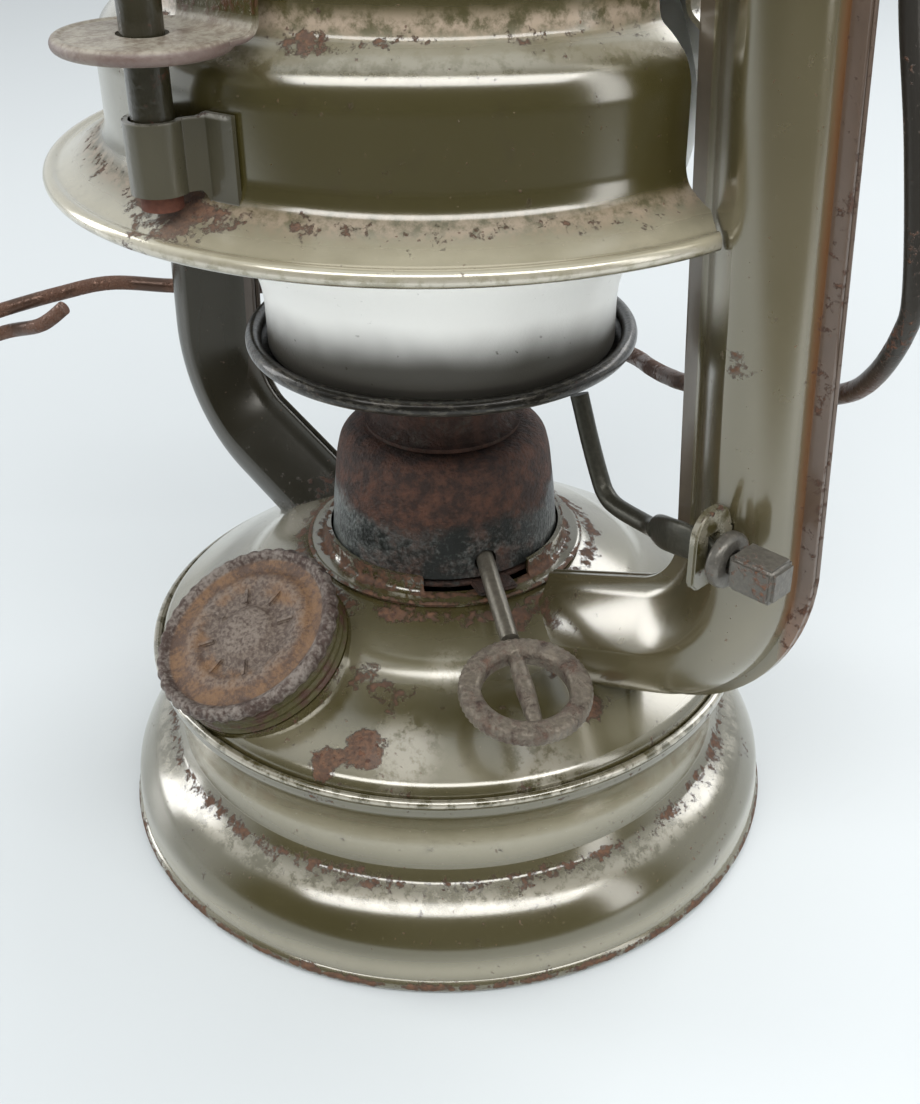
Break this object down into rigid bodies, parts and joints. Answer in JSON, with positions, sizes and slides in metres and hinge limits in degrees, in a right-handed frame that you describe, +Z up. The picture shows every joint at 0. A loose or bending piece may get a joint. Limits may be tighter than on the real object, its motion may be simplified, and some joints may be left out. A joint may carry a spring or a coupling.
{
  "type": "tubular oil lantern",
  "caption": "Small tubular oil lantern with a sliding blackout shroud, frosted globe, lifting lever, wick burner and wire bail.",
  "frame": {"origin": "centre of the tank's flat bottom pad, on the floor", "axes": "+Z up the tank's axis; +X towards the right air tube with the lift lever; the filler cap and the shroud's guide rod are on the -Y side"},
  "size_m": [0.1933, 0.1242, 0.2578],
  "materials": {
    "olive_enamel": "glossy olive drab enamel, chipped, with rust along the seams and edges",
    "dark_enamel": "dark olive enamel, sooty",
    "rusty_steel": "brown rust over steel",
    "dark_steel": "dark steel wire, dull",
    "zinc": "dull zinc plate",
    "cork_gasket": "aged flat gasket",
    "wick_cotton": "woven cotton tape, charred at the top",
    "frosted_glass": "frosted glass"
  },
  "bodies": {
    "frame": {"tank_shell": "olive_enamel", "tank_bottom": "olive_enamel", "tank_dome": "olive_enamel", "filler_neck": "olive_enamel", "burner_collar": "olive_enamel", "tube_right_front": "olive_enamel", "tube_right_rear": "olive_enamel", "tube_left_front": "olive_enamel", "tube_left_rear": "olive_enamel", "canopy_lower": "olive_enamel", "canopy_upper": "olive_enamel", "canopy_skirt": "dark_enamel", "bail_ear_right": "olive_enamel", "bail_ear_left": "olive_enamel", "lever_bracket": "olive_enamel", "guide_ear": "olive_enamel", "chimney_spring": "dark_steel"},
    "glass": {"globe": "frosted_glass", "globe_plate": "dark_enamel"},
    "crown": {"chimney": "dark_enamel", "crown_band": "olive_enamel", "crown_hood": "olive_enamel", "ring_staple": "dark_steel"},
    "ring": {"lift_ring": "dark_steel"},
    "lever": {"lift_lever": "dark_enamel", "lever_washer": "dark_steel", "lever_tab": "dark_steel"},
    "shade": {"shroud": "olive_enamel", "guide_rod": "olive_enamel", "guide_rod_nut": "dark_steel", "guide_strap": "olive_enamel"},
    "handle": {"bail": "dark_steel"},
    "burner": {"burner_plate": "zinc", "burner_cone": "rusty_steel", "flame_gallery": "rusty_steel", "wick_tube": "zinc"},
    "knob": {"wick_shaft": "dark_steel", "wick_wheel_outer": "zinc", "wick_wheel_inner": "zinc", "knob_ring": "rusty_steel"},
    "tape": {"wick": "wick_cotton"},
    "seal": {"cap_gasket": "cork_gasket"},
    "lid": {"filler_cap": "rusty_steel"}
  },
  "joints": [
    {"name": "shroud_slide", "type": "slide", "parent": "frame", "child": "shade", "axis": [0, 0, 1], "range_m": [-0.024, 0]},
    {"name": "globe_lift", "type": "slide", "parent": "frame", "child": "glass", "axis": [0, 0, 1], "range_m": [0, 0.01], "stiffness_N_per_m": 60, "springref_m": -0.02, "deforming": ["chimney_spring"]},
    {"name": "lever_rock", "type": "hinge", "parent": "frame", "child": "lever", "pos_m": [0.06413, -0.0121, 0.0805], "axis": [0, 1, 0], "range_deg": [0, 16.2]},
    {"name": "chimney_lift", "type": "slide", "parent": "glass", "child": "crown", "axis": [0, 0, 1], "range_m": [0, 0.008], "stiffness_N_per_m": 120, "springref_m": -0.02, "deforming": ["chimney_spring"]},
    {"name": "ring_swing", "type": "hinge", "parent": "crown", "child": "ring", "pos_m": [0, 0, 0.2549], "axis": [-1, 0, 0], "range_deg": [0, 195]},
    {"name": "bail_swing", "type": "hinge", "parent": "frame", "child": "handle", "pos_m": [0.0651, 0, 0.2104], "axis": [1, 0, 0], "range_deg": [0, 335]},
    {"name": "burner_turn", "type": "hinge", "parent": "frame", "child": "burner", "pos_m": [0, 0, 0.0525], "axis": [0, 0, 1], "range_deg": [-20, 0]},
    {"name": "knob_turn", "type": "hinge", "parent": "burner", "child": "knob", "pos_m": [0.00183, 0.00275, 0.0604], "axis": [0.8184, -0.5438, -0.1857], "range_deg": [-79, 106]},
    {"name": "wick_feed", "type": "slide", "parent": "burner", "child": "tape", "axis": [0, 0, 1], "range_m": [-0.004, 0.003]},
    {"name": "cap_lift", "type": "slide", "parent": "frame", "child": "seal", "axis": [-0.0338, -0.4836, 0.8746], "range_m": [0, 0.003]},
    {"name": "cap_turn", "type": "hinge", "parent": "seal", "child": "lid", "pos_m": [-0.00271, -0.03871, 0.04275], "axis": [-0.0338, -0.4836, 0.8746], "range_deg": [0, 540]}
  ],
  "couplings": [
    {"joint": "lever_rock", "follows": "globe_lift", "rad_per_m": 28.2},
    {"joint": "wick_feed", "follows": "knob_turn", "m_per_rad": -0.00211},
    {"joint": "cap_lift", "follows": "cap_turn", "m_per_rad": 0.000318}
  ]
}
